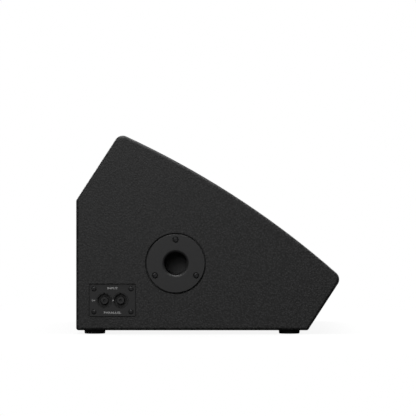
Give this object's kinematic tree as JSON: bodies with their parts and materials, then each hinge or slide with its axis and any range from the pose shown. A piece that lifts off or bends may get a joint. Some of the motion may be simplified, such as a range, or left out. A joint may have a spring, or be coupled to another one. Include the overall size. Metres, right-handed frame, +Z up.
{
  "type": "stage monitor wedge",
  "caption": "Wedge-shaped floor monitor loudspeaker with a curved grille, woofer and horn side by side, pole socket, input sockets and rubber feet.",
  "frame": {"origin": "centre of the bounding box on the plane that the feet stand on", "axes": "+X to the front, which the grille faces; +Y along the cabinet from the end with the input plate to the other end; +Z up"},
  "size_m": [0.4202, 0.572, 0.3168],
  "materials": {
    "cabinet_paint": "plywood under finely stippled black paint",
    "baffle_paint": "matte black paint on plywood",
    "bare_plywood": "unfinished birch plywood",
    "grille_steel": "powder-coated perforated sheet",
    "cup_steel": "smooth satin black powder coat",
    "black_screw": "black oxide",
    "plate_black": "fine matte black",
    "contact_metal": "nickel-plated",
    "circuit_board": "solder resist",
    "plated_steel": "zinc-plated",
    "handle_plastic": "textured black",
    "grip_rubber": "soft-touch",
    "frame_paint": "black wrinkle paint",
    "gasket_rubber": "matte",
    "cone_paper": "pressed fibre, black",
    "cap_paper": "pressed fibre, black, lacquered",
    "surround_cloth": "treated cloth",
    "spider_cloth": "varnished cloth",
    "former_film": "heat-resistant film",
    "copper_wire": "enamelled copper wire",
    "ferrite": "sintered ferrite",
    "terminal_metal": "tinned tabs on fibre board",
    "horn_plastic": "moulded, lightly grained",
    "diaphragm_metal": "titanium foil",
    "suspension_film": "polyester film",
    "nylon": "moulded nylon and screws",
    "capacitor_film": "wrapped film",
    "resistor_ceramic": "cemented",
    "lead_sleeve": "insulated two-core lead",
    "wadding": "polyester wadding",
    "socket_plastic": "glass-filled nylon",
    "seal_rubber": "matte grey",
    "foot_rubber": "moulded"
  },
  "bodies": {
    "cabinet": {"side_panel_left": "cabinet_paint", "side_panel_right": "cabinet_paint", "bottom_panel": "cabinet_paint", "back_panel": "cabinet_paint", "rear_slope_panel": "cabinet_paint", "nose_panel": "cabinet_paint", "baffle_board": "baffle_paint", "window_brace": "bare_plywood", "grille": "grille_steel", "grille_battens": "baffle_paint", "grille_screws": "black_screw", "pole_cup": "cup_steel", "pole_cup_screws": "black_screw", "input_plate": "plate_black", "input_plate_screws": "black_screw", "socket_contacts": "contact_metal", "socket_board": "circuit_board", "foot_screws": "plated_steel", "handle_dish": "handle_plastic", "handle_bar": "grip_rubber", "handle_screws": "black_screw", "woofer_frame": "frame_paint", "woofer_gasket": "gasket_rubber", "woofer_surround": "surround_cloth", "woofer_spider": "spider_cloth", "woofer_top_plate": "plated_steel", "woofer_magnet": "ferrite", "woofer_yoke": "plated_steel", "woofer_terminals": "terminal_metal", "woofer_fasteners": "black_screw", "horn": "horn_plastic", "horn_fasteners": "black_screw", "hf_yoke": "plated_steel", "hf_magnet": "ferrite", "hf_top_plate": "plated_steel", "hf_phase_plug": "horn_plastic", "hf_suspension": "suspension_film", "hf_rear_cover": "frame_paint", "crossover_board": "circuit_board", "crossover_hardware": "nylon", "crossover_inductors": "copper_wire", "crossover_capacitors": "capacitor_film", "crossover_resistors": "resistor_ceramic", "internal_leads": "lead_sleeve", "damping_pads": "wadding", "input_socket_shell": "socket_plastic", "link_socket_shell": "socket_plastic", "socket_cores": "socket_plastic", "socket_seals": "seal_rubber", "foot_back_left": "foot_rubber", "foot_back_right": "foot_rubber", "foot_front_left": "foot_rubber", "foot_front_right": "foot_rubber", "port_upper": "horn_plastic", "port_lower": "horn_plastic"},
    "woofer_moving_assembly": {"woofer_cone": "cone_paper", "woofer_dust_cap": "cap_paper", "voice_coil_former": "former_film", "voice_coil_winding": "copper_wire"},
    "hf_moving_assembly": {"hf_diaphragm": "diaphragm_metal"}
  },
  "joints": [
    {"name": "woofer_travel", "type": "slide", "parent": "cabinet", "child": "woofer_moving_assembly", "axis": [0.5446, 0, 0.8387], "range_m": [-0.006, 0.006], "stiffness_N_per_m": 4000, "deforming": ["woofer_surround", "woofer_spider"]},
    {"name": "hf_diaphragm_travel", "type": "slide", "parent": "cabinet", "child": "hf_moving_assembly", "axis": [0.5446, 0, 0.8387], "range_m": [-0.0003, 0.0003], "stiffness_N_per_m": 500, "deforming": ["hf_suspension"]}
  ]
}
